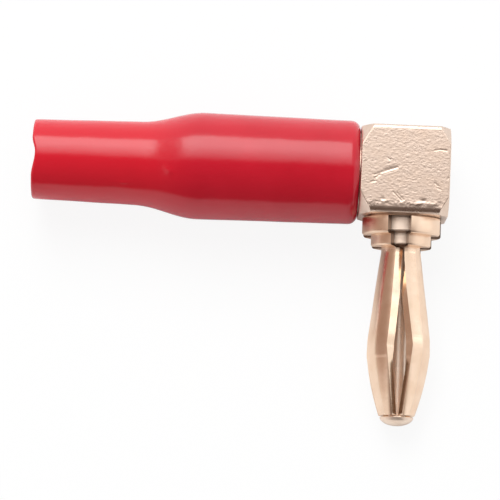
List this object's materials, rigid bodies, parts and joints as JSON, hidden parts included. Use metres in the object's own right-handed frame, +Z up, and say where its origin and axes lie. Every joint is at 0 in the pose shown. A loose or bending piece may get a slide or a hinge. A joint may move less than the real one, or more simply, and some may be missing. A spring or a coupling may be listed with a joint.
{
  "type": "banana plug",
  "caption": "Right-angle 4 mm banana plug: gold-plated square elbow with a slotted spring contact, and a red slide-on sleeve over its solder shank.",
  "frame": {"origin": "centre of the bounding box's underside, on the surface that the plug lies on", "axes": "+Z up, +X along the sleeve from its open end towards the square block, -Y the way the contact points, 7 degrees nose down"},
  "size_m": [0.0374, 0.0274, 0.0097],
  "materials": {
    "red_sleeve": "glossy soft PVC",
    "gold_block": "tumbled and gold plated, satin",
    "gold_contact": "bright gold plate",
    "gold_core": "turned and gold plated"
  },
  "bodies": {
    "plug": {"elbow_block": "gold_block", "spring_sleeve": "gold_contact", "core_pin": "gold_core"},
    "boot": {"boot": "red_sleeve"}
  },
  "joints": [
    {"name": "boot_slide", "type": "slide", "parent": "plug", "child": "boot", "axis": [-1, 0, 0], "range_m": [0, 0.012]}
  ]
}
